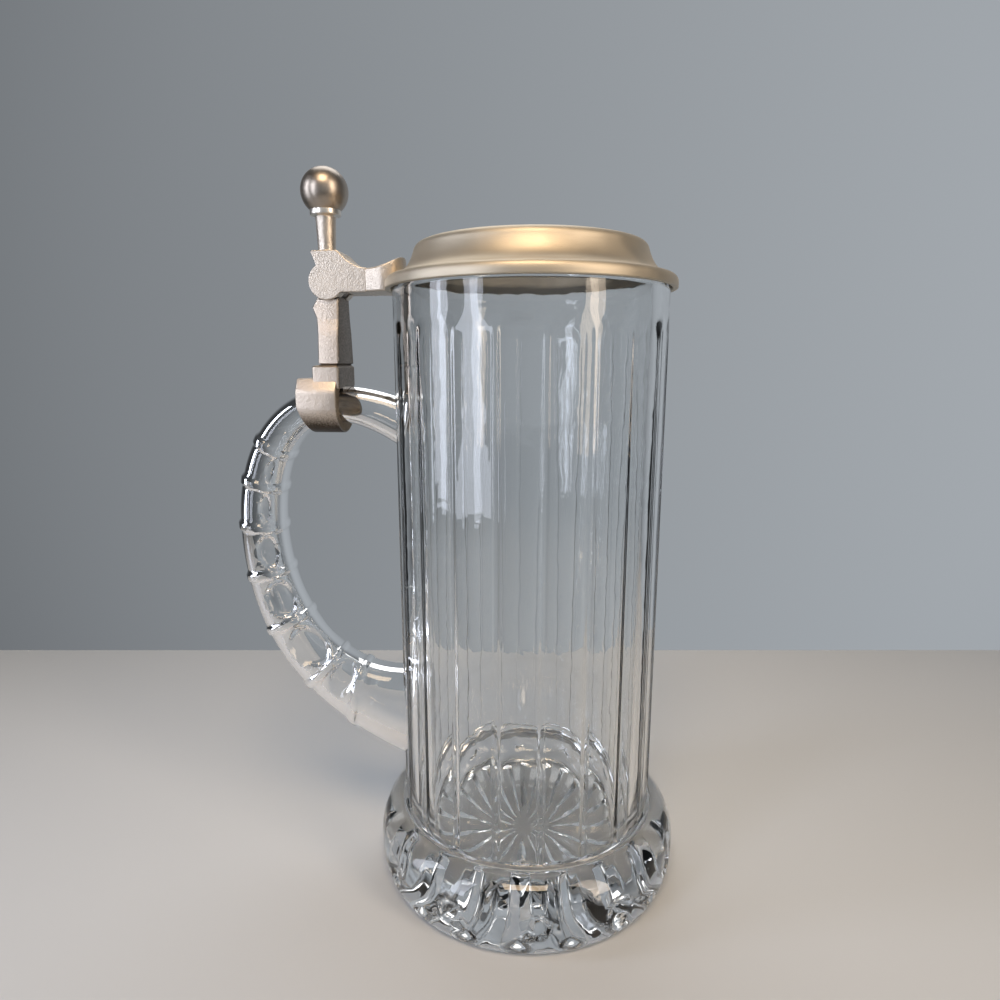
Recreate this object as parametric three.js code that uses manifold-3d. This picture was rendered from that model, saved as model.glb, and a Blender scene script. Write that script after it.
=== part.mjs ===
// A lidded glass beer stein: a pressed glass mug with a ribbed handle, and a pewter lid on a hinge.
// Millimetres, +Z up. The origin is the centre of the foot's underside and the handle points along -X.
import * as THREE from "three";
import { mergeVertices } from "three/addons/utils/BufferGeometryUtils.js";
import Module from "manifold-3d";

// Fits
const seatGap = 0.3; // between pieces that are fused, soldered or seated
const turnGap = 0.35; // between the hinge's turning faces
const pinGap = 0.12; // around the hinge pin

// Glass body
const bodyRadius = 41;
const bodyHeight = 189;
const wallThickness = 5.2;
const rimRound = 2.2;
const floorThickness = 15;
const floorFillet = 9;

// Flat panels with round heads, pressed into the wall
const panelCount = 20;
const panelRelief = 0.15; // how far a panel's edges lie under the round wall
const panelHeadDrop = 9; // from the rim down to the top of a panel's head

// Foot
const footHeight = 22.5;
const footFlare = 8.3; // how far the foot stands out past the wall
const footWidest = 11; // height of the foot's widest ring
const footShoulder = 2.5; // how far under the crease the foot's shoulder turns
const creaseDepth = 0.8; // groove between the foot and the bead over it
const beadSize = 1; // bead round the foot of the wall
const footTuck = 4.3; // how far the resting face lies inside the widest ring
const printCount = 12; // thumbprints round the foot
const printDepth = 0.9;
const printHeight = 8.4;
const printSpread = 0.34; // share of the pitch that a thumbprint takes up
const printTurn = 7; // degrees, from the handle's plane round to the nearest thumbprint
const rayCount = 16; // rays of the star under the foot
const rayDepth = 1.3;
const rayTip = 0.5; // depth at the hub
const rayReach = 39;
const hubRadius = 6; // flat disc left in the middle of the star

// Glass handle, between an outer and an inner outline that lie in the plane Y = 0
const handleReach = 53.4; // from the wall to the handle's farthest point
const handleThickness = 13.9; // at the waist, where the handle stands farthest out
const handleWidth = 17.4;
const handleNeckWidth = 14.8; // under the collar
const lowerRootWidth = 19;
const handleWaistDrop = 74.5; // from the rim down to the waist
const upperRootDrop = 33.5; // from the rim down to the top of the upper root
const upperRootDepth = 16.5;
const lowerRootBottom = 33.4;
const lowerRootDepth = 32.5;
const sectionRound = 0.88; // 1 gives a round section, and less gives a squarer one
const ribCount = 6;
const ribHeight = 0.9; // on the handle's sides
const ribCrest = 0.25; // over the outlines
const ribHalfWidth = 2.2;
const firstRib = 49.8; // along the handle from the upper root
const ribPitch = 12.6; // from the first rib to the second
const ribGrowth = 1.13; // each pitch over the one before it
const lensDepth = 0.9; // how far the sides sink between two ribs

// How the outlines bend, as shares of their own reach and of their heights over and under the waist
const outerBend = {
  crownLeadShare: 0.66,
  crownLiftShare: 0.36,
  upperBowShare: 0.72,
  lowerBowShare: 0.5,
  footLeadShare: 0.61,
  footLiftShare: 0.19,
};
const innerBend = {
  crownLeadShare: 0.72,
  crownLiftShare: 0.89,
  upperBowShare: 1.02,
  lowerBowShare: 0.53,
  footLeadShare: 0.61,
  footLiftShare: -0.08,
};

// Collar round the handle, and the post that stands on it
const collarLength = 12.7;
const collarWall = 1.9;
const collarCrown = 2.2; // thickness over the top of the handle
const collarBelly = 1.3; // thickness under the handle
const collarLeanLength = 2.8; // how much shorter the collar is below than at its middle
const collarBevel = 2; // across the top's edges
const collarBevelDrop = 4;
const collarSetback = 0.9; // from the post's near face back to the collar's end
const postWidth = 6.6; // along X
const postTopDepth = 10.6; // along Y
const postFootDepth = 16.2;
const postFlare = 1.7; // of the shoulder under the hinge
const saddleHeight = 3.5; // block at the post's foot
const saddleOverhang = 1.9; // of the block behind the post
const grooveHeight = 0.7;

// Hinge
const hingeReach = 19.7; // from the wall to the hinge axis
const hingeRise = 1.3; // from the rim up to the hinge axis
const discRadius = 5.4; // lever's cheeks
const knuckleRadius = 5.1; // post's knuckle between the cheeks
const leverWidth = 13;
const knuckleWidth = 4.4;
const pinRadius = 1.3;
const pinCover = 1; // metal left over the pin's blind end

// Lever
const leverRise = 8.9; // from the hinge axis up to the lever's top
const leverTopLength = 8.2;
const spurReach = 4.4; // from the hinge axis back to the spur's tip
const notchAngle = 122; // degrees, where the spur meets the round cheek
const armDrop = 3.2; // from the hinge axis down to the arm's underside
const armRise = 3.8;
const tongueRise = 7.4;
const tongueTip = 3; // from the dome's foot out to the tongue's tip
const leafWidth = 16.6; // where the arm meets the lid's rim
const leafStart = 5.2; // from the rim back to where the arm begins to widen

// Lid
const lipGap = 0.4; // between the lip and the glass wall
const lipDrop = 1.7; // how far the lip hangs below the glass rim
const lipWall = 1.7;
const lidBand = 3.7; // height of the upright band round the lip
const bandRound = 2;
const flangeRise = 0.6;
const domeInset = 7.3; // from the lip's outside to the dome's foot
const coveSize = 5; // hollow sweep from the flange to the dome, across
const coveRise = 6.9; // and up
const domeRise = 8.8; // from the flange up to the dome's shoulder
const domeTaper = 1.4;
const shoulderRound = 3.7;
const crownRise = 1.5;
const lidWall = 1.8;

// Thumb lift
const stemBase = 2.65;
const stemTop = 3.05;
const stemHeight = 9.9;
const stemSetback = 1; // from the middle of the lever's top back to the stem
const spigotRadius = 1.5;
const spigotGap = 0.2;
const spigotReach = 6; // up into the ball
const ringRadius = 4.6;
const ringHeight = 1.7;
const ballRadius = 7.1;
const ballSeatRadius = 5; // flat under the ball

// Facets
const roundSteps = 60;
const smallSteps = 24;
const curveSteps = 4;
const raySides = 4;
const printSides = 14;
const printRings = 8;
const handleSides = 16;
const upperRows = 8; // of the handle, before the first rib
const lowerRows = 6; // after the last rib

// Places that follow from the sizes
const wallX = -bodyRadius;
const boreRadius = bodyRadius - wallThickness;
const footRadius = bodyRadius + footFlare;
const panelTurn = Math.PI / panelCount;
const panelFlat = bodyRadius * Math.cos(panelTurn) - panelRelief;
const beadFoot = footHeight + creaseDepth;
const beadTop = beadFoot + 2 * beadSize;
const hingeX = wallX - hingeReach;
const hingeZ = bodyHeight + hingeRise;
const lipInside = bodyRadius + lipGap;
const lipRadius = lipInside + lipWall;
const lipBottom = bodyHeight - lipDrop;
const bandTop = lipBottom + lidBand;
const domeRadius = lipRadius - domeInset;
const flangeTop = bandTop + flangeRise;
const shoulderTop = flangeTop + domeRise;
const leverTop = hingeZ + leverRise;

const wasm = await Module();
wasm.setup();

// A closed geometry as a solid that can be joined and cut.
function solid(geometry) {
  const bare = geometry.index ? geometry.toNonIndexed() : geometry.clone();
  bare.deleteAttribute("normal");
  bare.deleteAttribute("uv");
  const merged = mergeVertices(bare, 1e-4);
  const corners = [];
  for (let i = 0; i < merged.index.count; i += 3) {
    const [a, b, c] = [0, 1, 2].map((k) => merged.index.getX(i + k));
    if (a !== b && b !== c && a !== c) corners.push(a, b, c);
  }
  const vertProperties = merged.attributes.position.array;
  const triVerts = new Uint32Array(corners);
  return new wasm.Manifold(new wasm.Mesh({ numProp: 3, vertProperties, triVerts }));
}

function geometryOf(body) {
  const mesh = body.getMesh();
  const geometry = new THREE.BufferGeometry();
  geometry.setAttribute("position", new THREE.BufferAttribute(mesh.vertProperties, mesh.numProp));
  geometry.setIndex(new THREE.BufferAttribute(mesh.triVerts, 1));
  geometry.computeVertexNormals();
  return geometry;
}

// A profile of radius and height, turned round the Z axis.
function turned(outline, steps) {
  const points = outline.getPoints(curveSteps);
  return solid(new THREE.LatheGeometry(points, steps).rotateX(Math.PI / 2));
}

// An outline of X and Z, as thick as depth and centred on the plane Y = 0.
function sideCut(shape, depth) {
  const settings = { depth, bevelEnabled: false, curveSegments: curveSteps };
  const slab = new THREE.ExtrudeGeometry(shape, settings);
  return solid(slab.rotateX(Math.PI / 2).translate(0, depth / 2, 0));
}

// An outline of Y and Z, carried along X from one place to another.
function endCut(shape, from, to) {
  const settings = { depth: to - from, bevelEnabled: false, curveSegments: curveSteps };
  const [alongY, alongZ, alongX] = [[0, 1, 0], [0, 0, 1], [1, 0, 0]].map((v) => new THREE.Vector3(...v));
  const turn = new THREE.Matrix4().makeBasis(alongY, alongZ, alongX).setPosition(from, 0, 0);
  return new THREE.ExtrudeGeometry(shape, settings).applyMatrix4(turn);
}

// A round bar along Y through the hinge axis, between two places on it.
function hingeBar(radius, from, to) {
  const bar = new THREE.CylinderGeometry(radius, radius, to - from, smallSteps);
  return solid(bar.translate(hingeX, (from + to) / 2, 0).translate(0, 0, hingeZ));
}

// Where a feature that is made facing +X goes when it is turned to an angle round the Z axis.
function around(angle) {
  return new THREE.Matrix4().makeRotationZ(angle);
}

// The body's profile: resting face, bulging foot, bead, wall, round rim, bore and filleted floor.
function bodyOutline() {
  const outline = new THREE.Path();
  const innerRound = boreRadius + rimRound;
  const roundHeight = bodyHeight - rimRound;
  const filletHeight = floorThickness + floorFillet;
  outline.moveTo(0, 0);
  outline.lineTo(footRadius - footTuck, 0);
  outline.quadraticCurveTo(footRadius, 0, footRadius, footWidest);
  const beadRadius = bodyRadius + beadSize;
  outline.quadraticCurveTo(footRadius, footHeight - footShoulder, beadRadius + creaseDepth, footHeight);
  outline.lineTo(beadRadius - creaseDepth / 2, footHeight + creaseDepth / 2);
  outline.lineTo(beadRadius, beadFoot);
  outline.quadraticCurveTo(beadRadius, beadFoot + beadSize, bodyRadius, beadTop);
  outline.lineTo(bodyRadius, roundHeight);
  outline.quadraticCurveTo(bodyRadius, bodyHeight, bodyRadius - rimRound, bodyHeight);
  outline.lineTo(innerRound, bodyHeight);
  outline.quadraticCurveTo(boreRadius, bodyHeight, boreRadius, roundHeight);
  outline.lineTo(boreRadius, filletHeight);
  outline.quadraticCurveTo(boreRadius, floorThickness, boreRadius - floorFillet, floorThickness);
  outline.lineTo(0, floorThickness);
  return outline;
}

// What is pressed away in front of one flat panel, facing +X.
function panelCutter() {
  const halfWidth = panelFlat * Math.tan(panelTurn) + panelRelief;
  const springing = bodyHeight - panelHeadDrop - halfWidth;
  const shape = new THREE.Shape();
  shape.moveTo(-halfWidth, beadTop);
  shape.lineTo(halfWidth, beadTop);
  shape.lineTo(halfWidth, springing);
  shape.absarc(0, springing, halfWidth, 0, Math.PI, false);
  return endCut(shape, panelFlat, bodyRadius + wallThickness);
}

// One thumbprint on the foot's widest ring, facing +X.
function printCutter() {
  const halfWidth = footRadius * Math.sin(Math.PI / printCount) * printSpread;
  const oval = new THREE.SphereGeometry(1, printSides, printRings).rotateY(Math.PI / 2);
  return oval.scale(printDepth, halfWidth, printHeight / 2).translate(footRadius, 0, footWidest);
}

// One ray of the star under the foot: a four-sided bar laid on its edge that widens outwards, along +X.
function rayCutter() {
  const length = rayReach - hubRadius;
  const bar = new THREE.CylinderGeometry(rayDepth, rayTip, length, raySides);
  return bar.rotateZ(-Math.PI / 2).translate(hubRadius + length / 2, 0, 0);
}

function glassBody() {
  let body = turned(bodyOutline(), roundSteps);
  const cuts = [
    [panelCutter, panelCount, 0],
    [printCutter, printCount, printTurn],
    [rayCutter, rayCount, 0],
  ];
  for (const [cutter, count, turn] of cuts) {
    for (let i = 0; i < count; i++) {
      const angle = Math.PI + THREE.MathUtils.degToRad(turn) + (2 * Math.PI * i) / count;
      body = body.subtract(solid(cutter().applyMatrix4(around(angle))));
    }
  }
  return body;
}

const rootX = wallX + wallThickness / 2;
const upperRootTop = bodyHeight - upperRootDrop;
const upperRootBottom = upperRootTop - upperRootDepth;
const lowerRootTop = lowerRootBottom + lowerRootDepth;
const handleWaist = bodyHeight - handleWaistDrop;
const outerX = wallX - handleReach;
const innerX = outerX + handleThickness;

// One of the handle's outlines, from the upper root (0) by the waist (0.5) to the lower root (1).
function handleOutline(farX, upper, lower, bend) {
  const reach = wallX - farX;
  const rise = upper - handleWaist;
  const fall = handleWaist - lower;
  const points = [
    [rootX, upper],
    [wallX - bend.crownLeadShare * reach, upper + bend.crownLiftShare * rise],
    [farX, handleWaist + bend.upperBowShare * rise],
    [farX, handleWaist],
    [farX, handleWaist - bend.lowerBowShare * fall],
    [wallX - bend.footLeadShare * reach, lower + bend.footLiftShare * fall],
    [rootX, lower],
  ].map(([x, z]) => new THREE.Vector2(x, z));
  const above = new THREE.CubicBezierCurve(...points.slice(0, 4));
  const below = new THREE.CubicBezierCurve(...points.slice(3));
  return (t) => (t < 0.5 ? above.getPoint(2 * t) : below.getPoint(2 * t - 1));
}
const outerOutline = handleOutline(outerX, upperRootTop, lowerRootBottom, outerBend);
const innerOutline = handleOutline(innerX, upperRootBottom, lowerRootTop, innerBend);

// The handle's middle line, which measures lengths along the handle.
class HandleLine extends THREE.Curve {
  getPoint(t) {
    return outerOutline(t).lerp(innerOutline(t), 0.5);
  }
}
const handleLine = new HandleLine();
const handleLength = handleLine.getLength();

// Lengths along the handle of the ribs' crests.
function ribPlaces() {
  const places = [firstRib];
  for (let i = 1; i < ribCount; i++) {
    places.push(places[i - 1] + ribPitch * ribGrowth ** (i - 1));
  }
  return places;
}

// Plain sections of the handle, evenly spread between two lengths along it.
function plainStations(from, to, count) {
  return Array.from({ length: count + 1 }, (_, i) => [THREE.MathUtils.lerp(from, to, i / count), 0]);
}

// The handle's sections as [length along it, how far its sides stand out]: ribs with lenses between them.
function handleStations() {
  const ribs = ribPlaces();
  const rows = plainStations(0, firstRib - 2 * ribHalfWidth, upperRows);
  ribs.forEach((place, i) => {
    rows.push([place - ribHalfWidth, 0], [place, ribHeight], [place + ribHalfWidth, 0]);
    if (i + 1 < ribCount) rows.push([(place + ribs[i + 1]) / 2, -lensDepth]);
  });
  rows.push(...plainStations(ribs[ribCount - 1] + 2 * ribHalfWidth, handleLength, lowerRows));
  return rows;
}

// Half the handle's width at a length along it: narrow under the collar, wide in the grip and lower root.
function handleHalfWidth(length) {
  const grip = THREE.MathUtils.smoothstep(length, firstRib / 2, firstRib);
  const root = THREE.MathUtils.smoothstep(length, handleLength - lowerRootDepth, handleLength);
  const width = THREE.MathUtils.lerp(handleNeckWidth, handleWidth, grip);
  return THREE.MathUtils.lerp(width, lowerRootWidth, root) / 2;
}

// The handle before it is cut to the wall: a closed tube whose rows are laid at the stations.
function handleTube(grow) {
  const rows = handleStations();
  const tube = new THREE.CylinderGeometry(1, 1, 1, handleSides, rows.length - 1);
  const place = tube.attributes.position;
  const soften = (v) => Math.sign(v) * Math.abs(v) ** sectionRound;
  for (let i = 0; i < place.count; i++) {
    const [length, raised] = rows[Math.round((place.getY(i) + 0.5) * (rows.length - 1))];
    const t = handleLine.getUtoTmapping(0, length);
    const across = innerOutline(t).sub(outerOutline(t)).multiplyScalar(0.5);
    across.setLength(across.length() + grow + (raised > 0 ? ribCrest : 0));
    const middle = handleLine.getPoint(t).addScaledVector(across, soften(place.getX(i)));
    const side = (handleHalfWidth(length) + grow + raised) * soften(place.getZ(i));
    place.setXYZ(i, middle.x, side, middle.y);
  }
  return solid(tube);
}

// The panelled wall with the seat gap round it, which trims the handle's roots.
function wallTrim() {
  const radius = (panelFlat + seatGap) / Math.cos(panelTurn);
  const prism = new THREE.CylinderGeometry(radius, radius, 2 * bodyHeight, panelCount);
  return solid(prism.rotateX(Math.PI / 2).rotateZ(Math.PI / 2 + panelTurn));
}

function glassHandle() {
  return handleTube(0).subtract(wallTrim());
}

// Height of one of the handle's outlines over its upper bend, at a place along X.
function heightAt(outline, x) {
  let [near, far] = [0, 0.5];
  while (far - near > 1e-6) {
    const t = (near + far) / 2;
    if (outline(t).x > x) near = t;
    else far = t;
  }
  return outline(near).y;
}
const collarRight = hingeX + postWidth / 2 - collarSetback;
const collarLeft = collarRight - collarLength;
const collarTop = heightAt(outerOutline, (collarLeft + collarRight) / 2) + seatGap + collarCrown;
const collarBottom = heightAt(innerOutline, collarLeft + collarLeanLength) - seatGap - collarBelly;

// The collar's section: a flat bevelled top and a round underside, with a gap left round it.
function collarSection(gap) {
  const half = handleNeckWidth / 2 + seatGap + collarWall + gap;
  const top = collarTop + gap;
  const belly = (collarTop + collarBottom) / 2;
  const shape = new THREE.Shape();
  shape.moveTo(-half, belly);
  shape.absellipse(0, belly, half, belly - collarBottom + gap, Math.PI, 2 * Math.PI, false);
  shape.lineTo(half, top - collarBevelDrop);
  shape.lineTo(half - collarBevel, top);
  shape.lineTo(collarBevel - half, top);
  shape.lineTo(-half, top - collarBevelDrop);
  return shape;
}

// The collar, whose underside is shorter because its far end leans with the handle's bend.
function handleCollar() {
  const band = endCut(collarSection(0), collarLeft, collarRight);
  const belly = (collarTop + collarBottom) / 2;
  const place = band.attributes.position;
  for (let i = 0; i < place.count; i++) {
    const far = place.getX(i) < (collarLeft + collarRight) / 2;
    const below = (belly - place.getZ(i)) / (belly - collarBottom);
    if (far && below > 0) place.setX(i, place.getX(i) + collarLeanLength * below);
  }
  return solid(band).subtract(handleTube(seatGap));
}

// The post: a block on the collar, a groove, a tapered shaft, a flared shoulder and the knuckle.
function hingePost() {
  const left = hingeX - postWidth / 2;
  const right = hingeX + postWidth / 2;
  const foot = collarTop - collarBevelDrop;
  const saddle = collarTop + seatGap + saddleHeight;
  const neckline = saddle + grooveHeight;
  const shoulder = hingeZ - discRadius - turnGap;
  const postTop = hingeZ - armDrop - turnGap;
  const side = new THREE.Shape();
  side.moveTo(left - saddleOverhang, foot);
  side.lineTo(right, foot);
  side.lineTo(right, saddle);
  side.lineTo(right - grooveHeight, saddle + grooveHeight / 2);
  side.lineTo(right, neckline);
  side.lineTo(right, postTop);
  side.lineTo(left, postTop);
  side.lineTo(left - postFlare, shoulder - postFlare);
  side.quadraticCurveTo(left, shoulder - 3 * postFlare, left, (shoulder + neckline) / 2);
  side.lineTo(left, neckline);
  side.lineTo(left + grooveHeight, saddle + grooveHeight / 2);
  side.lineTo(left - saddleOverhang, saddle);
  const front = new THREE.Shape();
  front.moveTo(-postFootDepth / 2, foot);
  front.lineTo(postFootDepth / 2, foot);
  front.lineTo(postFootDepth / 2, saddle);
  front.lineTo(postTopDepth / 2, shoulder);
  front.lineTo(postTopDepth / 2, hingeZ);
  front.lineTo(-postTopDepth / 2, hingeZ);
  front.lineTo(-postTopDepth / 2, shoulder);
  front.lineTo(-postFootDepth / 2, saddle);
  const ends = [left - postWidth, right + postWidth];
  const shaft = sideCut(side, postFootDepth).intersect(solid(endCut(front, ...ends)));
  const collarRoom = solid(endCut(collarSection(seatGap), ...ends));
  const cheekRoom = hingeBar(discRadius + turnGap, -leverWidth, leverWidth);
  const half = knuckleWidth / 2;
  const web = new THREE.BoxGeometry(postWidth, knuckleWidth, hingeZ - shoulder + postFlare);
  web.translate(hingeX, 0, (hingeZ + shoulder - postFlare) / 2);
  const knuckle = hingeBar(knuckleRadius, -half, half).add(solid(web));
  const bore = hingeBar(pinRadius + pinGap, -leverWidth, leverWidth);
  return shaft.subtract(collarRoom).subtract(cheekRoom).add(knuckle).subtract(bore);
}

// The lid's outside from the lip up to the crown, as radius and height, with a gap left round it.
function lidFace(outline, gap) {
  outline.lineTo(lipRadius + gap, bandTop - bandRound + gap);
  outline.quadraticCurveTo(lipRadius + gap, bandTop + gap, lipRadius - bandRound + gap, bandTop + gap);
  outline.lineTo(domeRadius + coveSize + gap, flangeTop + gap);
  const coveTop = flangeTop + coveRise + gap;
  outline.quadraticCurveTo(domeRadius + gap, flangeTop + gap, domeRadius + gap, coveTop);
  outline.quadraticCurveTo(
    domeRadius - domeTaper + gap,
    shoulderTop + gap,
    domeRadius - domeTaper - shoulderRound + gap,
    shoulderTop + gap,
  );
  outline.quadraticCurveTo(domeRadius / 2, shoulderTop + crownRise + gap, 0, shoulderTop + crownRise + gap);
  return outline;
}

// The lid as a full block with the seat gap round it, which trims the lever.
function lidTrim() {
  const outline = new THREE.Path();
  outline.moveTo(0, lipBottom - leverWidth);
  outline.lineTo(lipRadius + seatGap, lipBottom - leverWidth);
  return turned(lidFace(outline, seatGap), roundSteps);
}

// A lip round the glass rim, a flat seat on it, and a hollow dome.
function lidShell() {
  const seat = bodyHeight + seatGap;
  const outline = new THREE.Path();
  outline.moveTo(0, shoulderTop + crownRise - lidWall);
  outline.quadraticCurveTo(
    domeRadius / 2,
    shoulderTop + crownRise - lidWall,
    domeRadius - domeTaper - shoulderRound,
    shoulderTop - lidWall,
  );
  outline.quadraticCurveTo(
    domeRadius - domeTaper - lidWall,
    shoulderTop - lidWall,
    domeRadius - domeTaper - lidWall,
    shoulderTop - lidWall - shoulderRound,
  );
  outline.lineTo(domeRadius - lidWall, flangeTop);
  outline.lineTo(boreRadius + wallThickness / 2, seat);
  outline.lineTo(lipInside, seat);
  outline.lineTo(lipInside, lipBottom);
  outline.lineTo(lipRadius, lipBottom);
  return turned(lidFace(outline, 0), roundSteps);
}

// The lever: two round cheeks, a spur behind, an arm that widens to a leaf and a tongue up the dome's foot.
function lidLever() {
  const armBottom = hingeZ - armDrop;
  const armTop = hingeZ + armRise;
  const tipX = -(domeRadius + tongueTip);
  const topEnd = hingeX - spurReach + leverTopLength;
  const armStart = -lipRadius - leafStart;
  const side = new THREE.Shape();
  side.moveTo(tipX, armBottom);
  side.lineTo(hingeX + Math.sqrt(discRadius ** 2 - armDrop ** 2), armBottom);
  const startAngle = Math.asin(-armDrop / discRadius);
  side.absarc(hingeX, hingeZ, discRadius, startAngle, THREE.MathUtils.degToRad(notchAngle - 360), true);
  side.lineTo(hingeX - spurReach, leverTop);
  side.lineTo(topEnd, leverTop);
  side.quadraticCurveTo((topEnd + armStart) / 2, armTop, armStart, armTop);
  side.quadraticCurveTo(-lipRadius, armTop, tipX, hingeZ + tongueRise);
  const plan = new THREE.Shape();
  const back = hingeX - leverWidth;
  plan.moveTo(back, -leverWidth / 2);
  plan.lineTo(armStart, -leverWidth / 2);
  plan.lineTo(-lipRadius, -leafWidth / 2);
  plan.quadraticCurveTo(-domeRadius - domeInset / 2, -leafWidth / 2, tipX, 0);
  plan.quadraticCurveTo(-domeRadius - domeInset / 2, leafWidth / 2, -lipRadius, leafWidth / 2);
  plan.lineTo(armStart, leverWidth / 2);
  plan.lineTo(back, leverWidth / 2);
  const below = armBottom - discRadius;
  const settings = { depth: leverTop + discRadius - below, bevelEnabled: false, curveSegments: curveSteps };
  const leaf = new THREE.ExtrudeGeometry(plan, settings).translate(0, 0, below);
  const half = knuckleWidth / 2 + turnGap;
  const slot = hingeBar(Math.max(knuckleRadius, discRadius) + turnGap, -half, half);
  const bore = hingeBar(pinRadius + pinGap, pinCover - leverWidth / 2, leverWidth);
  const lever = sideCut(side, 2 * leafWidth).intersect(solid(leaf));
  return lever.subtract(lidTrim()).subtract(slot).subtract(bore);
}

// A plain pin, put in from the back and stopped by the front cheek's blind bore.
function hingePin() {
  return hingeBar(pinRadius, pinCover + pinGap - leverWidth / 2, leverWidth / 2);
}

const stemX = hingeX - spurReach + leverTopLength / 2 - stemSetback;
const stemFoot = leverTop + seatGap;
const stemHead = stemFoot + stemHeight;
const ringFoot = stemHead + seatGap;
const ballSeat = ringFoot + ringHeight + seatGap;
const ballSink = Math.sqrt(ballRadius ** 2 - ballSeatRadius ** 2);

// A tapered stem with a thin spigot on top that holds the ring and the ball.
function thumbStem() {
  const outline = new THREE.Path();
  outline.moveTo(0, stemFoot);
  outline.lineTo(stemBase, stemFoot);
  outline.lineTo(stemTop, stemHead);
  outline.lineTo(spigotRadius, stemHead);
  outline.lineTo(spigotRadius, ballSeat + spigotReach);
  outline.lineTo(0, ballSeat + spigotReach);
  return turned(outline, smallSteps);
}

function thumbRing() {
  const bore = spigotRadius + spigotGap;
  const half = ringHeight / 2;
  const outline = new THREE.Path();
  outline.moveTo(bore, ringFoot);
  outline.lineTo(ringRadius - half, ringFoot);
  outline.absarc(ringRadius - half, ringFoot + half, half, -Math.PI / 2, Math.PI / 2, false);
  outline.lineTo(bore, ringFoot + ringHeight);
  outline.lineTo(bore, ringFoot);
  return turned(outline, smallSteps);
}

// A ball cut flat where it sits on the ring, with a blind bore for the spigot.
function thumbBall() {
  const bore = spigotRadius + spigotGap;
  const centre = ballSeat + ballSink;
  const outline = new THREE.Path();
  outline.moveTo(0, ballSeat + spigotReach + seatGap);
  outline.lineTo(bore, ballSeat + spigotReach + seatGap);
  outline.lineTo(bore, ballSeat);
  outline.lineTo(ballSeatRadius, ballSeat);
  outline.absarc(0, centre, ballRadius, -Math.asin(ballSink / ballRadius), Math.PI / 2, false);
  return turned(outline, smallSteps);
}

const clearGlass = { color: 0xe4ece8, roughness: 0.03, metalness: 0, transparent: true, opacity: 0.35 };
const spunPewter = { color: 0xb3a795, roughness: 0.38, metalness: 1 };
const castPewter = { color: 0xcabfae, roughness: 0.5, metalness: 1 };
const turnedPewter = { color: 0x9a9084, roughness: 0.28, metalness: 1 };
const steel = { color: 0x8f9194, roughness: 0.3, metalness: 1 };

function piece(name, body, finish) {
  const mesh = new THREE.Mesh(geometryOf(body), new THREE.MeshStandardMaterial(finish));
  mesh.name = name;
  return mesh;
}

const mug = new THREE.Group();
mug.add(piece("glass_body", glassBody(), clearGlass));
mug.add(piece("glass_handle", glassHandle(), clearGlass));
mug.add(piece("handle_collar", handleCollar(), castPewter));
mug.add(piece("hinge_post", hingePost(), castPewter));

// The stem, ring and ball are turned round their own axis and stand over the hinge.
const thumbLift = new THREE.Group();
thumbLift.position.x = stemX;
thumbLift.add(piece("thumblift_stem", thumbStem(), castPewter));
thumbLift.add(piece("thumblift_ring", thumbRing(), turnedPewter));
thumbLift.add(piece("thumblift_ball", thumbBall(), turnedPewter));

const lid = new THREE.Group();
lid.add(piece("lid_shell", lidShell(), spunPewter));
lid.add(piece("lid_lever", lidLever(), castPewter));
lid.add(piece("hinge_pin", hingePin(), steel));
lid.add(thumbLift);

const stein = new THREE.Group();
stein.name = "glass_beer_stein";
stein.add(mug, lid);

export default stein;
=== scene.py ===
# Looks of a lidded glass beer stein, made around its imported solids.
import math
import bmesh
import bpy
import numpy as np
from mathutils import Matrix, Vector


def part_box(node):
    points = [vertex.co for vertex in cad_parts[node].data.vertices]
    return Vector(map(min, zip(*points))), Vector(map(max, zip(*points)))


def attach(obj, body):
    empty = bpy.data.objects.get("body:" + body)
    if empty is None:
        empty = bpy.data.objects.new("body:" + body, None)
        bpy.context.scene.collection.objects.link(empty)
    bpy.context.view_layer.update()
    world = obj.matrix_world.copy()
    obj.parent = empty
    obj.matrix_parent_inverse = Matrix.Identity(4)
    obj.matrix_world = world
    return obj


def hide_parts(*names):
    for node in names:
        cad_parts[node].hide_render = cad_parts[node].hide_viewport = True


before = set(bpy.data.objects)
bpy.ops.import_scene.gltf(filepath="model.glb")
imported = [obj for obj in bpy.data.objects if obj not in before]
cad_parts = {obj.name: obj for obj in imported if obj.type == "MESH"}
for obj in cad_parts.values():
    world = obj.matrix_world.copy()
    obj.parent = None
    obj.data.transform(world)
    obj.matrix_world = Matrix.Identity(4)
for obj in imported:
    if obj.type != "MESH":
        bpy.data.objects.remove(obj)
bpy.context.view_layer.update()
mm = 0.001
pole = 0.02  # radius in mm of the small cap that closes a turned piece at its axis
print("frame loaded:", sorted(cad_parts))

def nodeBox(node):
    # a node's low and high corners in millimetres
    return [np.array(corner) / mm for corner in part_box(node)]

rimHeight = nodeBox("glass_body")[1][2]

# Lines and faces

def straight(start, end, count):
    # points on a line, the last one left to the next stretch
    share = np.linspace(0, 1, count, endpoint=False)[:, None]
    return np.array(start) * (1 - share) + np.array(end) * share

def bowed(start, pull, end, count):
    # quadratic curve from start to end, drawn towards pull, the last point left to the next stretch
    t = np.linspace(0, 1, count, endpoint=False)[:, None]
    return (1 - t) ** 2 * np.array(start) + 2 * t * (1 - t) * np.array(pull) + t ** 2 * np.array(end)

def bowedTo(start, pull, end, count):
    # the same curve with its last point
    return np.concatenate([bowed(start, pull, end, count - 1), [end]])

def smoothStep(value, low, high):
    # 0 below low and 1 above high, with a cubic rise between
    t = np.clip((value - low) / (high - low), 0, 1)
    return t * t * (3 - 2 * t)

def squared(wave, power):
    # a sine or cosine drawn towards a square wave by a power below 1
    return np.sign(wave) * np.abs(wave) ** power

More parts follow.
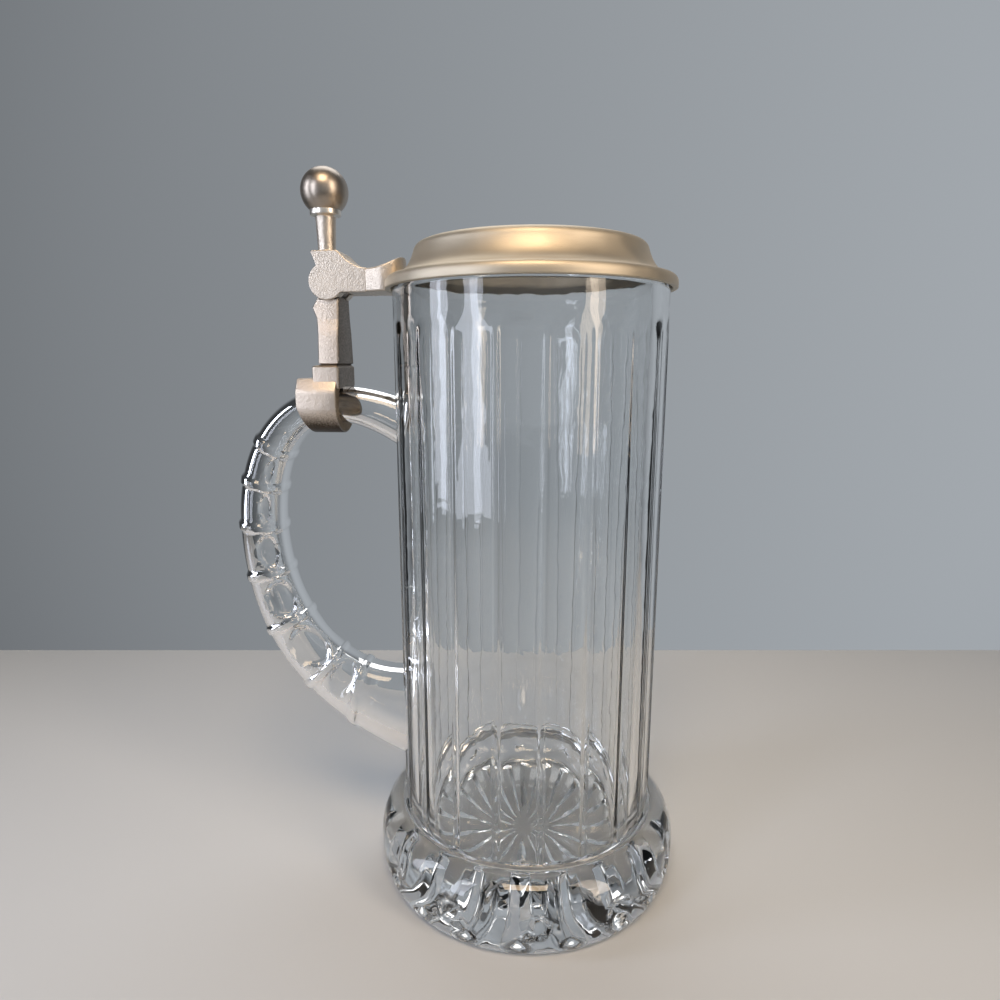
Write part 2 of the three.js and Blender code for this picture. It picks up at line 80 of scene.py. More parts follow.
def pressedOval(oval, bowl, rim):
    # depth share inside an ellipse where oval is below 1: part round bowl, part dish with a soft rim
    inside = np.clip(1 - oval, 0, 1)
    return bowl * inside + (1 - bowl) * smoothStep(inside, 0, rim)

def pathLength(points):
    # distance run along a line of points
    return np.concatenate([[0], np.cumsum(np.hypot(*np.diff(points, axis=0).T))])

def strip(rows, columns, wrapRows):
    # quads of a grid whose columns wrap round, and whose rows do too where asked
    row = np.arange(rows if wrapRows else rows - 1)[:, None]
    column = np.arange(columns)[None, :]
    above, beside = (row + 1) % rows, (column + 1) % columns
    corners = [row * columns + column, row * columns + beside,
               above * columns + beside, above * columns + column]
    return np.stack(np.broadcast_arrays(*corners), -1).reshape(-1, 4)

def newPiece(name, points, quads, caps=(), sharpAngle=40):
    # a mesh of quads and end caps from millimetres, smooth but for edges past the sharp angle
    loops = np.concatenate([quads.ravel(), *[np.asarray(c).ravel() for c in caps]]).astype(np.int32)
    totals = np.concatenate([np.full(len(quads), 4), [len(c) for c in caps]]).astype(np.int32)
    starts = np.concatenate([[0], np.cumsum(totals)[:-1]]).astype(np.int32)
    mesh = bpy.data.meshes.new(name)
    mesh.vertices.add(len(points))
    mesh.vertices.foreach_set("co", (points * mm).astype(np.float32).ravel())
    mesh.loops.add(len(loops))
    mesh.loops.foreach_set("vertex_index", loops)
    mesh.polygons.add(len(totals))
    mesh.polygons.foreach_set("loop_start", starts)
    mesh.polygons.foreach_set("loop_total", totals)
    mesh.update(calc_edges=True)
    mesh.validate()
    return placePiece(name, mesh, sharpAngle)

def placePiece(name, mesh, sharpAngle):
    # a smooth-shaded object at the origin
    mesh.polygons.foreach_set("use_smooth", np.ones(len(mesh.polygons), bool))
    mesh.set_sharp_from_angle(angle=math.radians(sharpAngle))
    piece = bpy.data.objects.new(name, mesh)
    bpy.context.scene.collection.objects.link(piece)
    return piece

def loft(name, grid, sharpAngle=40):
    # rows of closed rings, with flat caps on the two end rings
    rows, columns = grid.shape[:2]
    first = np.arange(columns)
    caps = [first[::-1], first + (rows - 1) * columns]
    return newPiece(name, grid.reshape(-1, 3), strip(rows, columns, False), caps, sharpAngle)

def turned(name, profile, steps, axisX=0.0, sharpAngle=40):
    # a profile of radius and height turned round an upright axis
    angle = np.linspace(0, 2 * np.pi, steps, endpoint=False)[None, :]
    radius, height = profile[:, :1], profile[:, 1:2]
    grid = np.stack(np.broadcast_arrays(
        axisX + radius * np.cos(angle), radius * np.sin(angle), height), -1)
    return loft(name, grid, sharpAngle)

# Glass body

glassBody = {
    "radius": 41.0, "wall": 5.2, "rimRound": 2.2, "floor": 15.0, "fillet": 9.0, "floorDish": 1.0,
    "panels": 20, "panelRelief": 0.22, "strip": 1.1, "stripFlat": 0.4,
    "headDrop": 9.5, "headSoft": 4.5, "headZone": 24.0,
    "headShare": 0.3, "headFade": 60.0, "stripShare": 0.7, "stripFade": 10.0,  # shallower towards the heads
    "footRadius": 49.3, "footHeight": 22.5, "footWidest": 11.0, "footTuck": 4.3, "footShoulder": 2.5,
    "bead": 1.0, "groove": 0.8, "creaseShare": 0.2,
    "prints": 12, "printTurn": 7.0, "printDepth": 0.9, "printTall": 4.2, "printShare": 0.34,
    "printBowl": 0.4, "printRim": 0.7,
    "rays": 16, "rayDepth": 1.3, "rayReach": 39.0, "rayFull": 0.45, "rayEnd": 0.93, "rayWide": 0.62,
    "hub": 3.0,
    "perPanel": (-8.65, -8.3, -7.9, -7.5, -7.0, -5.5, -3.7, -1.9, 0.0,
                 1.9, 3.7, 5.5, 7.0, 7.5, 7.9, 8.3, 8.65, 9.0),  # degrees, closer at the strips
    "touch": 0.01, "sharp": 32,
}

def bodyProfile(b):
    # radius and height from the middle of the underside, out, up the wall, over the rim and down the bore
    wall, inside, top = b["radius"], b["radius"] - b["wall"], rimHeight
    foot, rest = b["footRadius"], b["footRadius"] - b["footTuck"]
    bead, groove, rim = b["bead"], b["groove"], b["rimRound"]
    crease, floor, fillet = b["footHeight"], b["floor"], b["fillet"]
    ledge, beadOut, creaseIn = wall + bead + groove, wall + bead, wall + b["creaseShare"] * bead
    creaseTop, beadMiddle = crease + groove / 2, crease + groove + bead / 2
    beadTop, headLow = crease + groove + 2 * bead, top - b["headDrop"] - b["headZone"]
    dish = floor - b["floorDish"]
    return np.concatenate([
        straight((pole, 0), (b["rayReach"], 0), 30),
        straight((b["rayReach"], 0), (rest, 0), 3),
        bowed((rest, 0), (foot, 0), (foot, b["footWidest"]), 22),
        bowed((foot, b["footWidest"]), (foot, crease - b["footShoulder"]), (ledge, crease), 24),
        bowed((ledge, crease), (creaseIn, crease), (creaseIn, creaseTop), 5),
        bowed((creaseIn, creaseTop), (beadOut, creaseTop), (beadOut, beadMiddle), 6),
        bowed((beadOut, beadMiddle), (beadOut, beadMiddle + bead), (wall, beadTop), 6),
        straight((wall, beadTop), (wall, headLow), 16),
        straight((wall, headLow), (wall, top - rim), 34),
        bowed((wall, top - rim), (wall, top), (wall - rim, top), 8),
        straight((wall - rim, top), (inside + rim, top), 2),
        bowed((inside + rim, top), (inside, top), (inside, top - rim), 8),
        straight((inside, top - rim), (inside, floor + fillet), 10),
        bowed((inside, floor + fillet), (inside, floor), (inside - fillet, floor), 12),
        straight((inside - fillet, floor), (pole, dish), 8),
        [(pole, dish)],
    ])

def nearestTurn(angle, count, turn=0.0):
    # angle from the nearest of a ring of evenly spread places
    pitch = 2 * np.pi / count
    return (angle - turn + pitch / 2) % pitch - pitch / 2

def makeBody(b):
    # the profile turned round, its radius less the panels and thumbprints, its underside raised by the star
    profile = bodyProfile(b)
    middles = np.arange(b["panels"]) * 360 / b["panels"] - 180
    angle = np.radians(middles[:, None] + np.array(b["perPanel"])).reshape(1, -1)
    radius = np.repeat(profile[:, :1], angle.size, 1)
    height = np.repeat(profile[:, 1:2], angle.size, 1)
    # flat panels: the wall drops to a chord under a round head, between narrow strips of the round wall
    half = np.pi / b["panels"]
    aside = np.abs(nearestTurn(angle, b["panels"]))
    chord = b["radius"] * math.cos(half) / np.cos(aside)
    sunk = smoothStep(b["radius"] * (half - aside), b["stripFlat"] * b["strip"], b["strip"])
    halfWide = b["radius"] * math.sin(half)
    spring = rimHeight - b["headDrop"] - halfWide
    head = spring + np.sqrt(np.clip(halfWide ** 2 - (b["radius"] * np.sin(aside)) ** 2, 0, None))
    flatFade = 1 - (1 - b["headShare"]) * smoothStep(height, spring - b["headFade"], spring)
    stripFade = 1 - (1 - b["stripShare"]) * smoothStep(height, spring - b["stripFade"], spring)
    depth = ((b["radius"] - chord) * flatFade + b["panelRelief"] * stripFade) * sunk
    pressed = 1 - smoothStep(height - head, -b["headSoft"], 0)
    beadTop = b["footHeight"] + b["groove"] + 2 * b["bead"]
    onWall = (radius > b["radius"] - b["touch"]) & (height > beadTop - b["touch"])
    pressed *= smoothStep(height, beadTop - b["bead"], beadTop + b["bead"])
    radius = np.where(onWall, radius - depth * pressed, radius)
    # thumbprints: oval dents spread over the foot's bulge
    bulge = (radius > b["radius"]) & (height < b["footHeight"] - b["touch"])
    printAside = nearestTurn(angle, b["prints"], math.radians(b["printTurn"] - 90))
    oval = (printAside / (b["printShare"] * np.pi / b["prints"])) ** 2
    oval = oval + ((height - b["footWidest"]) / b["printTall"]) ** 2
    dent = b["printDepth"] * pressedOval(oval, b["printBowl"], b["printRim"])
    radius = np.where(bulge, radius - dent, radius)
    # star: grooves under the foot that widen and deepen away from the hub
    under = (height < b["touch"]) & (radius < b["rayReach"])
    reach = smoothStep(radius, b["hub"], b["rayFull"] * b["rayReach"])
    reach = reach * (1 - smoothStep(radius, b["rayEnd"] * b["rayReach"], b["rayReach"]))
    ridge = np.abs(nearestTurn(angle, b["rays"])) / (np.pi / b["rays"])
    groove = np.clip(1 - ridge / b["rayWide"], 0, 1) * b["rayDepth"] * reach
    height = np.where(under, height + groove, height)
    grid = np.stack([radius * np.cos(angle), radius * np.sin(angle), height], -1)
    return loft("stein_glass", grid, b["sharp"])

# Glass handle

glassHandle = {
    "reach": 53.4, "thick": 13.9, "wide": 17.4, "neckWide": 14.8, "rootWide": 19.0,
    "waistDrop": 74.5, "rootDrop": 33.5, "rootDepth": 16.5, "lowBottom": 33.4, "lowDepth": 32.5,
    "round": 0.88,
    "ribs": (49.8, 62.4, 76.6, 92.7, 110.9, 131.5, 145.5),  # places along the handle's middle
    "ribLean": (1.1, 0.8, 0.8, 1.9, 2.9, 3.7, 0.0),
    "ribRise": 0.9, "ribHalf": 1.9, "ribFlat": 0.4, "ribLow": 0.4,
    "lensTurn": 62.0, "lensHalf": (0.5, 11.0, 16.0, 30.0, 41.0, 46.0, 40.0, 0.5),  # degrees
    "lensDepth": (0.0, 0.7, 1.2, 2.0, 2.7, 2.9, 1.7, 0.0), "lensBowl": 0.45, "lensRim": 0.45,
    "outer": (0.66, 0.36, 0.72, 0.5, 0.61, 0.19),  # pulls of the outlines, as shares of reach, rise and fall
    "inner": (0.72, 0.89, 1.02, 0.53, 0.61, -0.08),
    "neckAlong": 40, "along": 250, "around": 84, "crowd": 0.4, "sharp": 32,
}

def handleOutline(wallX, rootX, waist, farX, upper, lower, bend):
    # two cubic curves, from the upper root to the waist and on to the lower root
    reach, rise, fall = wallX - farX, upper - waist, waist - lower
    points = np.array([
        (rootX, upper), (wallX - bend[0] * reach, upper + bend[1] * rise), (farX, waist + bend[2] * rise),
        (farX, waist), (farX, waist - bend[3] * fall), (wallX - bend[4] * reach, lower + bend[5] * fall),
        (rootX, lower)])
    def at(t):
        # the cubic of the half that t falls in
        part = np.where(t < 0.5, 2 * t, 2 * t - 1)[:, None]
        pull = np.where((t < 0.5)[:, None, None], points[None, :4], points[None, 3:])
        return ((1 - part) ** 3 * pull[:, 0] + 3 * (1 - part) ** 2 * part * pull[:, 1]
                + 3 * (1 - part) * part ** 2 * pull[:, 2] + part ** 3 * pull[:, 3])
    return at

def handleLines(h, b):
    # the outer and the inner outline of the loop in X and Z, each a function of 0 to 1
    wallX, rootX = -b["radius"], -b["radius"] + b["wall"] / 2
    waist, upper, lower = rimHeight - h["waistDrop"], rimHeight - h["rootDrop"], h["lowBottom"]
    outerX = wallX - h["reach"]
    outer = handleOutline(wallX, rootX, waist, outerX, upper, lower, h["outer"])
    inner = handleOutline(wallX, rootX, waist, outerX + h["thick"], upper - h["rootDepth"],
                          lower + h["lowDepth"], h["inner"])
    return outer, inner

def makeHandle(h, b):
    # a rounded section between the two outlines, carried along them, raised by ribs and sunk by ovals
    outer, inner = handleLines(h, b)
    fine = np.linspace(0, 1, 2001)
    length = pathLength((outer(fine) + inner(fine)) / 2)
    ribs, lean = np.array(h["ribs"]), np.array(h["ribLean"])
    start = ribs[0] - 2 * h["ribHalf"]  # points lie wider apart on the plain neck
    along = np.concatenate([
        np.linspace(0, start, h["neckAlong"], endpoint=False), np.linspace(start, length[-1], h["along"])])
    t = np.interp(along, length, fine)
    far, near = outer(t), inner(t)
    even = np.linspace(0, 2 * np.pi, h["around"], endpoint=False)[None, :]
    turn = even - h["crowd"] * np.sin(even)  # points lie closer on the inner half, where the ovals are
    share = squared(np.cos(turn), h["round"])  # 1 at the inner outline and -1 at the outer one
    side = squared(np.sin(turn), h["round"])
    grip = smoothStep(along, ribs[0] / 2, ribs[0])
    root = smoothStep(along, length[-1] - h["lowDepth"], length[-1])
    wide = h["neckWide"] + (h["wide"] - h["neckWide"]) * grip
    wide = (wide + (h["rootWide"] - wide) * root)[:, None] / 2
    # ribs: raised lines across the sides, leaning with the bend
    place = along[:, None] - np.interp(along, ribs, lean)[:, None] * share
    gap = np.abs(place[..., None] - ribs).min(-1)
    rise = h["ribRise"] * (1 - smoothStep(gap, h["ribFlat"] * h["ribHalf"], h["ribHalf"]))
    rise = rise * (h["ribLow"] + (1 - h["ribLow"]) * np.abs(side))
    # ovals: a dent between each two ribs, on either side
    edges = np.concatenate([[2 * ribs[0] - ribs[1]], ribs, [length[-1]]])
    cell = np.clip(np.searchsorted(ribs, place), 0, len(ribs))
    centre = (edges[cell] + edges[cell + 1]) / 2
    halfLong = (edges[cell + 1] - edges[cell]) / 2 - h["ribHalf"]
    fold = np.abs((turn + np.pi) % (2 * np.pi) - np.pi)  # turn away from the inner outline
    across = (fold - math.radians(h["lensTurn"])) / np.radians(np.array(h["lensHalf"])[cell])
    oval = ((place - centre) / halfLong) ** 2 + across ** 2
    dent = np.array(h["lensDepth"])[cell] * pressedOval(oval, h["lensBowl"], h["lensRim"])
    # each point moves out along its own section by the rib's rise less the dent's depth
    middle, half = (far + near) / 2, (near - far) / 2
    reach = np.linalg.norm(half, axis=1, keepdims=True)
    spread = 1 + (rise - dent) / ((reach + wide) / 2)
    spot = middle[:, None, :] + half[:, None, :] * (share * spread)[..., None]
    grid = np.stack([spot[..., 0], wide * side * spread, spot[..., 1]], -1)
    return loft("handle_glass", grid, h["sharp"])

def makeGlass():
    # body and handle are one fused piece of glass
    body, handle = makeBody(glassBody), makeHandle(glassHandle, glassBody)
    join = body.modifiers.new("fuse", "BOOLEAN")
    join.operation, join.solver, join.object = "UNION", "MANIFOLD", handle
    fused = bpy.data.meshes.new_from_object(body.evaluated_get(bpy.context.evaluated_depsgraph_get()))
    for o in (body, handle):
        bpy.data.objects.remove(o)
    return placePiece("stein_glass", fused, glassBody["sharp"])

# Materials

def linear(code):
    # sRGB hex to linear light
    value = np.array([int(code[i:i + 2], 16) for i in (1, 3, 5)]) / 255
    value = np.where(value <= 0.04045, value / 12.92, ((value + 0.055) / 1.055) ** 2.4)
    return (*value, 1.0)

def addNode(tree, kind, inputs=(), **settings):
    # a node with its settings, its inputs set to a value or linked to another node's output
    node = tree.nodes.new(kind)
    for key, value in settings.items():
        setattr(node, key, value)
    for key, value in dict(inputs).items():
        if isinstance(value, bpy.types.NodeSocket):
            tree.links.new(value, node.inputs[key])
        else:
            node.inputs[key].default_value = value
    return node

def newMaterial(name):
    # an empty material with one shader and its output
    material = bpy.data.materials.new(name)
    material.use_nodes = True
    tree = material.node_tree
    tree.nodes.clear()
    surface = addNode(tree, "ShaderNodeBsdfPrincipled")
    addNode(tree, "ShaderNodeOutputMaterial", {"Surface": surface.outputs[0]})
    return material, tree, surface

# mould waves and finer ripples in mm, and how strongly they show on the tall wall and on the small handle
glassFinish = {"colour": "#fdfefe", "rough": 0.015, "wave": 16.0, "ripple": 4.0, "rippleShare": 0.22,
               "relief": 0.4, "onWall": 0.35, "onHandle": 0.08, "wallEnds": -42.0, "handleStarts": -48.0}

def pressedGlass(f):
    # soda-lime glass, pressed and fire polished: clear, with a soft waviness from the mould
    material, tree, surface = newMaterial("pressed_soda_lime_glass")
    place = addNode(tree, "ShaderNodeTexCoord").outputs["Object"]
    wave = addNode(tree, "ShaderNodeTexNoise", {
        "Vector": place, "Scale": 1 / (f["wave"] * mm), "Detail": 1.5})
    ripple = addNode(tree, "ShaderNodeTexNoise", {
        "Vector": place, "Scale": 1 / (f["ripple"] * mm), "Detail": 1.0})
    mixed = addNode(tree, "ShaderNodeMath", {
        0: ripple.outputs[0], 1: f["rippleShare"], 2: wave.outputs[0]}, operation="MULTIPLY_ADD")
    part = addNode(tree, "ShaderNodeSeparateXYZ", {0: place})
    waviness = addNode(tree, "ShaderNodeMapRange", {
        "Value": part.outputs[0], "From Min": f["handleStarts"] * mm, "From Max": f["wallEnds"] * mm,
        "To Min": f["onHandle"], "To Max": f["onWall"]})
    bump = addNode(tree, "ShaderNodeBump", {
        "Height": mixed.outputs[0], "Strength": waviness.outputs[0], "Distance": f["relief"] * mm})
    surface.inputs["Base Color"].default_value = linear(f["colour"])
    surface.inputs["Roughness"].default_value = f["rough"]
    surface.inputs["IOR"].default_value = 1.52
    surface.inputs["Transmission Weight"].default_value = 1.0
    tree.links.new(bump.outputs[0], surface.inputs["Normal"])
    return material

# finishes of the metal: tones of its clouds, roughness, grain and pits in mm, and how strongly they show
castFinish = {"name": "sand_cast_pewter", "light": "#e0d6ca", "dark": "#c8bcae", "rough": (0.36, 0.5),
              "grain": 0.5, "pit": 1.6, "strength": 0.4, "paintedShade": None}
# the same cast pewter with painted shade, a dark brown on faces that point down or along X, for the collar
# and the post
shadedCastFinish = {**castFinish, "name": "sand_cast_pewter_with_painted_shade", "light": "#e2d5c8", "dark": "#c8baab",
              "paintedShade": "#4a3f35"}
turnedFinish = {"name": "turned_pewter", "light": "#bbb0a3", "dark": "#a0958a", "rough": (0.3, 0.38),
                "grain": 0.3, "pit": 2.0, "strength": 0.08, "paintedShade": None}
# the same turned pewter made lighter for the ring: a painted highlight for the light that its edge catches
litRingFinish = {**turnedFinish, "name": "turned_pewter_painted_highlight", "light": "#efe9e0", "dark": "#e0d8cd"}
spunFinish = {"name": "spun_pewter", "light": "#d0c5b2", "dark": "#c0b4a1", "rough": (0.46, 0.54),
              "grain": 0.35, "pit": 2.5, "strength": 0.12, "paintedShade": None}
wireFinish = {"name": "drawn_steel_wire", "light": "#8f9194", "dark": "#7d7f83", "rough": (0.25, 0.35),
              "grain": 0.2, "pit": 1.0, "strength": 0.1, "paintedShade": None}
# the last four numbers spread the painted shade: its share on faces along X, its mottling by the grain, and
# where it starts and is full
metalRelief = {"cloud": 9.0, "cloudLow": 0.3, "cloudHigh": 0.7, "pitShare": 0.35, "depth": 0.3,
               "sideShade": 0.62, "shadeMottle": 0.5, "shadeFrom": 0.5, "shadeFull": 1.0}

def satinMetal(f, r):
    # pewter, a warm grey tin alloy, or steel wire: cloudy tone, and a surface that spreads its gloss,
    # where asked with painted shade, a dark brown mottled by the sand grain, weaker on what faces along X and
    # full on what faces down
    material, tree, surface = newMaterial(f["name"])
    place = addNode(tree, "ShaderNodeTexCoord").outputs["Object"]
    cloud = addNode(tree, "ShaderNodeTexNoise", {
        "Vector": place, "Scale": 1 / (r["cloud"] * mm), "Detail": 4.0})
    sand = addNode(tree, "ShaderNodeTexNoise", {
        "Vector": place, "Scale": 1 / (f["grain"] * mm), "Detail": 3.0})
    pits = addNode(tree, "ShaderNodeTexVoronoi", {"Vector": place, "Scale": 1 / (f["pit"] * mm)})
    tone = addNode(tree, "ShaderNodeMix", {
        0: cloud.outputs[0], 6: linear(f["dark"]), 7: linear(f["light"])}, data_type="RGBA")
    gloss = addNode(tree, "ShaderNodeMapRange", {
        "Value": cloud.outputs[0], "From Min": r["cloudLow"], "From Max": r["cloudHigh"],
        "To Min": f["rough"][0], "To Max": f["rough"][1]})
    mixed = addNode(tree, "ShaderNodeMath", {
        0: pits.outputs[0], 1: r["pitShare"], 2: sand.outputs[0]}, operation="MULTIPLY_ADD")
    bump = addNode(tree, "ShaderNodeBump", {
        "Height": mixed.outputs[0], "Strength": f["strength"], "Distance": r["depth"] * mm})
    surface.inputs["Metallic"].default_value = 1.0
    # painted shade: darker on faces that point down or along X, where less light falls, broken up by the
    # grain
    if f["paintedShade"]:
        normal = addNode(tree, "ShaderNodeTexCoord").outputs["Normal"]
        facing = addNode(tree, "ShaderNodeSeparateXYZ", {0: normal})
        aside = addNode(tree, "ShaderNodeMath", {0: facing.outputs[0]}, operation="ABSOLUTE")
        thin = addNode(tree, "ShaderNodeMath", {0: aside.outputs[0], 1: r["sideShade"]}, operation="MULTIPLY")
        down = addNode(tree, "ShaderNodeMath", {0: facing.outputs[2], 1: -1.0}, operation="MULTIPLY")
        most = addNode(tree, "ShaderNodeMath", {0: thin.outputs[0], 1: down.outputs[0]}, operation="MAXIMUM")
        mottledShade = addNode(tree, "ShaderNodeMath", {
            0: sand.outputs[0], 1: r["shadeMottle"], 2: most.outputs[0]}, operation="MULTIPLY_ADD")
        mask = addNode(tree, "ShaderNodeMapRange", {
            "Value": mottledShade.outputs[0], "From Min": r["shadeFrom"], "From Max": r["shadeFull"]})
        tone = addNode(tree, "ShaderNodeMix", {
            0: mask.outputs[0], 6: tone.outputs[2], 7: linear(f["paintedShade"])}, data_type="RGBA")
    tree.links.new(tone.outputs[2], surface.inputs["Base Color"])
    tree.links.new(gloss.outputs[0], surface.inputs["Roughness"])
    tree.links.new(bump.outputs[0], surface.inputs["Normal"])
    return material

crustFinish = {"dark": "#5f5142", "light": "#9a8970", "streak": 2.5, "rough": 0.7}

def oxideCrust(f):
    # brown oxide and old solder inside the collar, matt and streaky, that shows through the glass
    material, tree, surface = newMaterial("brown_solder_oxide")
    place = addNode(tree, "ShaderNodeTexCoord").outputs["Object"]
    streak = addNode(tree, "ShaderNodeTexNoise", {
        "Vector": place, "Scale": 1 / (f["streak"] * mm), "Detail": 3.0})
    tone = addNode(tree, "ShaderNodeMix", {
        0: streak.outputs[0], 6: linear(f["dark"]), 7: linear(f["light"])}, data_type="RGBA")
    tree.links.new(tone.outputs[2], surface.inputs["Base Color"])
    surface.inputs["Roughness"].default_value = f["rough"]
    return material

# Lid and thumb lift

lidSizes = {
    "lipWall": 1.7, "band": 3.7, "bandRound": 2.4, "edge": 0.4, "boreEdge": 0.3, "seatGap": 0.3,
    "landing": 3.0, "flangeRise": 0.15, "domeInset": 7.3,
    "cove": 4.5, "coveRise": 6.9, "covePull": (0.7, 0.8), "coveLean": 1.2,
    "domeTop": 9.4, "domePull": 1.6, "taper": 1.4, "shoulder": 3.2, "crown": 1.5, "wall": 1.8,
    "steps": 192, "sharp": 50,
}

def makeLid(s):
    # radius and height from under the crown, down inside, round the lip and back over band, cove and dome
    low, high = nodeBox("lid_shell")
    lip, bottom, seat = (high[0] - low[0]) / 2, low[2], rimHeight + s["seatGap"]
    bandTop = bottom + s["band"]
    flange, dome = bandTop + s["flangeRise"], lip - s["domeInset"]
    top = bandTop + s["domeTop"]
    crown = top + s["crown"]
    shoulder = dome - s["taper"] - s["shoulder"]
    hollow, under, peak = dome - s["taper"] - s["wall"], top - s["wall"], crown - s["wall"]
    bore, edge, boreEdge = lip - s["lipWall"], s["edge"], s["boreEdge"]
    bandIn, coveFoot = lip - s["bandRound"], dome + s["cove"]
    coveX, coveZ = dome - s["coveLean"], flange + s["coveRise"]
    profile = np.concatenate([
        bowed((pole, peak), (dome / 2, peak), (shoulder, under), 12),
        bowed((shoulder, under), (hollow, under), (hollow, under - s["shoulder"]), 8),
        straight((hollow, under - s["shoulder"]), (dome - s["wall"], flange), 3),
        straight((dome - s["wall"], flange), (bore - s["landing"], seat), 3),
        straight((bore - s["landing"], seat), (bore, seat), 3),
        straight((bore, seat), (bore, bottom + boreEdge), 3),
        bowed((bore, bottom + boreEdge), (bore, bottom), (bore + boreEdge, bottom), 3),
        straight((bore + boreEdge, bottom), (lip - edge, bottom), 3),
        bowed((lip - edge, bottom), (lip, bottom), (lip, bottom + edge), 4),
        straight((lip, bottom + edge), (lip, bandTop - s["bandRound"]), 5),
        bowed((lip, bandTop - s["bandRound"]), (lip, bandTop), (bandIn, bandTop), 6),
        straight((bandIn, bandTop), (coveFoot, flange), 2),
        bowed((coveFoot, flange), (dome + s["covePull"][0], flange + s["covePull"][1]), (coveX, coveZ), 18),
        bowed((coveX, coveZ), (dome - s["domePull"], top), (shoulder, top), 12),
        bowedTo((shoulder, top), (dome / 2, crown), (pole, crown), 21),
    ])
    return turned("lid", profile, s["steps"], sharpAngle=s["sharp"])

thumbLift = {"stemBase": 2.65, "stemTop": 3.05, "fillet": 0.35, "filletRise": 1.2,
             "ring": 4.6, "ringEdge": 0.3, "ringStep": 0.2, "ringBulge": 0.05, "ringCone": 0.75,
             "ballSink": 0.4, "ballPole": 0.004, "seatGap": 0.3, "steps": 96}

def makeThumbLift(s):
    # three turned profiles of radius and height on the stem's axis
    stemLow, stemHigh = nodeBox("thumblift_stem")
    ringLow, ringHigh = nodeBox("thumblift_ring")
    ballLow, ballHigh = nodeBox("thumblift_ball")
    axisX = (stemLow[0] + stemHigh[0]) / 2
    foot, head, ringTop = stemLow[2] - s["seatGap"], ringLow[2], ringHigh[2] + s["seatGap"]
    base, neck, ring = s["stemBase"], s["stemTop"], s["ring"]
    edge, step, filletTop = s["ringEdge"], s["ringStep"], foot + s["filletRise"]
    stem = np.concatenate([
        straight((pole, foot), (base + s["fillet"], foot), 3),
        bowed((base + s["fillet"], foot), (base, foot + step), (base, filletTop), 5),
        straight((base, filletTop), (neck, head), 8), [(neck, head), (pole, head)]])
    # ring: a flare under a rounded edge, then a cone up to the ball
    bead = np.concatenate([
        straight((pole, head - step), (neck, head - step), 3),
        bowed((neck, head - step), (neck + step, head + step / 2), (ring - edge, head + step), 6),
        bowed((ring - edge, head + step), (ring, head + step), (ring, head + 2 * step), 4),
        bowed((ring, head + 2 * step), (ring + s["ringBulge"], head + 4 * step), (ring, ringTop - edge), 5),
        bowed((ring, ringTop - edge), (ring, ringTop), (ring - s["ringCone"], ringTop), 4),
        [(ring - s["ringCone"], ringTop), (pole, ringTop)]])
    # ball: an arc from where it sinks into the ring up to its pole
    ball = (ballHigh[0] - ballLow[0]) / 2
    ballMiddle = ballHigh[2] - ball
    sink = ballMiddle - ringTop + s["ballSink"]
    sweep = np.linspace(-math.asin(sink / ball), np.pi / 2 - s["ballPole"], 40)
    globe = np.stack([ball * np.cos(sweep), ballMiddle + ball * np.sin(sweep)], -1)
    globe = np.concatenate([[(pole, ballMiddle - sink)], globe])
    return [turned("thumb_stem", stem, s["steps"], axisX), turned("thumb_ring", bead, s["steps"], axisX),
            turned("thumb_ball", globe, s["steps"], axisX)]

# Collar, post and lever

hinge = {"reach": 19.7, "rise": 1.3, "disc": 5.4, "knuckle": 5.1, "leverWide": 13.0, "knuckleWide": 4.4,
         "turnGap": 0.35, "seatGap": 0.3, "armDrop": 3.2, "around": 48, "sharp": 35}
hingeX = -glassBody["radius"] - hinge["reach"]
hingeZ = rimHeight + hinge["rise"]

def evenLoop(points, count):
    # a closed outline laid out again with points at even distances
    closed = np.concatenate([points, points[:1]])
    length = pathLength(closed)
    at = np.linspace(0, length[-1], count, endpoint=False)
    return np.stack([np.interp(at, length, closed[:, i]) for i in (0, 1)], -1)

def inset(points, distance, slack=0.002):
    # a closed anticlockwise outline drawn in along its own normals
    step = np.roll(points, -1, 0) - np.roll(points, 1, 0)
    normal = np.stack([-step[:, 1], step[:, 0]], -1) / np.linalg.norm(step, axis=1, keepdims=True)
    moved = points + normal * distance
    # points that crossed over at a sharp corner are laid out between their sound neighbours
    nearest = np.linalg.norm(moved[:, None] - points[None], axis=2).min(1)
    sound = np.flatnonzero(nearest > distance - slack)
    count, at = len(points), np.arange(len(points))
    around = np.concatenate([sound - count, sound, sound + count])
    return np.stack([np.interp(at, around, np.tile(moved[sound, i], 3)) for i in (0, 1)], -1)

def roundCorners(corners, radii, count=6):
    # an outline of straight edges whose corners are bent to quadratic curves
    corners = np.array(corners, float)
    rows = []
    for i, radius in enumerate(radii):
        here, before, after = corners[i], corners[i - 1], corners[(i + 1) % len(corners)]
        entry = here + (before - here) * min(0.5, radius / np.linalg.norm(before - here))
        leave = here + (after - here) * min(0.5, radius / np.linalg.norm(after - here))
        rows.append(bowedTo(entry, here, leave, count + 1))
    return np.concatenate(rows)

def slab(outline, rows, capInset=0.12):
    # rings of an outline of X and Z, each at its own Y and drawn in by its own distance
    ends = [(rows[0][0], rows[0][1] + capInset)] + list(rows) + [(rows[-1][0], rows[-1][1] + capInset)]
    rings = [np.insert(inset(outline, drawn), 1, y, axis=1) for y, drawn in ends]
    return np.stack(rings)

def roundedRows(low, high, radius, lowRound=True, highRound=True, count=4):
    # places across a slab with how far its outline is drawn in where its edges are round
    bend = np.linspace(0, np.pi / 2, count + 1)
    rows = []
    if lowRound:
        rows += [(low + radius * (1 - math.sin(a)), radius * (1 - math.cos(a))) for a in bend[::-1]]
    else:
        rows.append((low, 0.0))
    if highRound:
        rows += [(high - radius * (1 - math.sin(a)), radius * (1 - math.cos(a))) for a in bend]
    else:
        rows.append((high, 0.0))
    return rows

